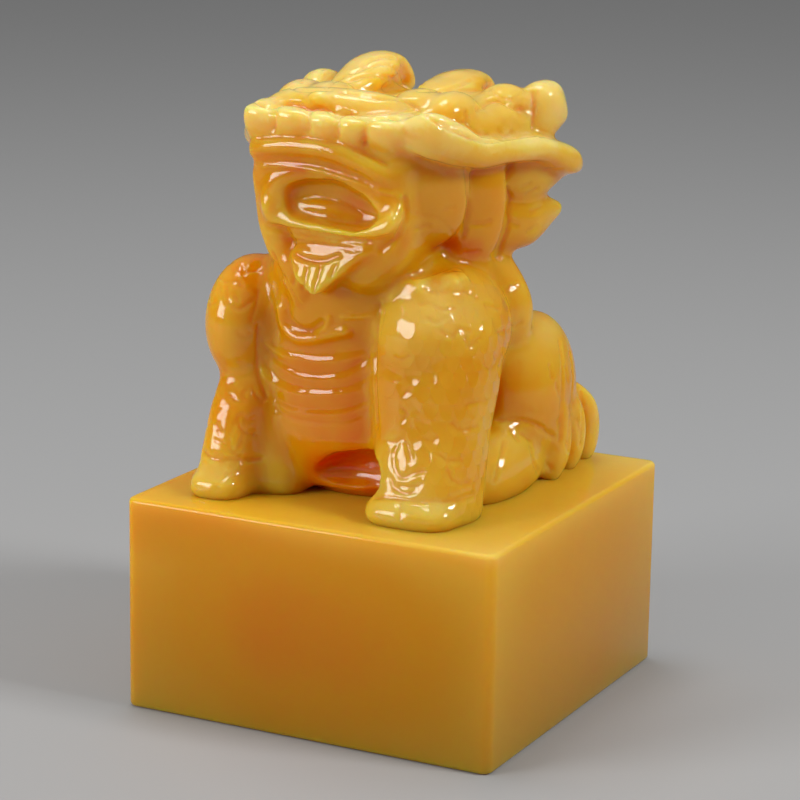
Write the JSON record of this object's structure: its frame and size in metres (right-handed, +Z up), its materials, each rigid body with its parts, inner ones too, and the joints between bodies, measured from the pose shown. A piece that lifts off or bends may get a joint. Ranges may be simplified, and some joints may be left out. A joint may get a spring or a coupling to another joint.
{
  "type": "seal stamp",
  "caption": "Square stone seal stamp with a seated guardian beast carved on top as its grip and a raised key fret under a border as its printing face.",
  "frame": {"origin": "centre of the block's underside, on the plane of the printing face", "axes": "+Z up through the beast, the beast looks along -Y, its left side is on +X"},
  "size_m": [0.05, 0.05, 0.0795],
  "materials": {
    "honey_stone": "polished, slightly translucent",
    "amber_stone": "polished, slightly translucent",
    "cream_stone": "polished, slightly translucent"
  },
  "bodies": {
    "root": {"seal_block": "honey_stone", "beard": "honey_stone", "belly": "amber_stone", "brow_band_left": "cream_stone", "brow_band_right": "cream_stone", "brow_fringe": "cream_stone", "brow_roll": "cream_stone", "cheek_left": "honey_stone", "cheek_right": "honey_stone", "chest": "amber_stone", "crown": "cream_stone", "crown_curl_left": "cream_stone", "crown_curl_right": "cream_stone", "ear_left": "cream_stone", "ear_right": "cream_stone", "elbow_tuft_left": "cream_stone", "elbow_tuft_right": "cream_stone", "eye_left": "amber_stone", "eye_right": "amber_stone", "foreleg_left": "honey_stone", "foreleg_right": "honey_stone", "forepaw_left": "honey_stone", "forepaw_right": "honey_stone", "haunch_left": "honey_stone", "haunch_right": "honey_stone", "hind_paw_left": "honey_stone", "hind_paw_right": "honey_stone", "horn_left": "cream_stone", "horn_right": "cream_stone", "lower_jaw": "amber_stone", "lower_lip": "honey_stone", "lower_mane_left": "cream_stone", "lower_mane_right": "cream_stone", "mane_fold_left_1": "honey_stone", "mane_fold_left_2": "honey_stone", "mane_fold_right_1": "honey_stone", "mane_fold_right_2": "honey_stone", "mouth_rim": "honey_stone", "muzzle": "amber_stone", "nape_lock_1": "cream_stone", "nape_lock_2": "cream_stone", "nape_lock_3": "cream_stone", "nape_lock_4": "cream_stone", "nape_lock_5": "cream_stone", "neck": "amber_stone", "rump_tuft_left_1": "cream_stone", "rump_tuft_left_2": "cream_stone", "rump_tuft_left_3": "cream_stone", "rump_tuft_right_1": "cream_stone", "rump_tuft_right_2": "cream_stone", "rump_tuft_right_3": "cream_stone", "shoulder_left": "honey_stone", "shoulder_right": "honey_stone", "skull": "honey_stone", "snout_roll": "honey_stone", "tail": "cream_stone", "tongue": "amber_stone", "torso": "honey_stone", "upper_mane_left": "cream_stone", "upper_mane_right": "cream_stone"}
  },
  "joints": []
}
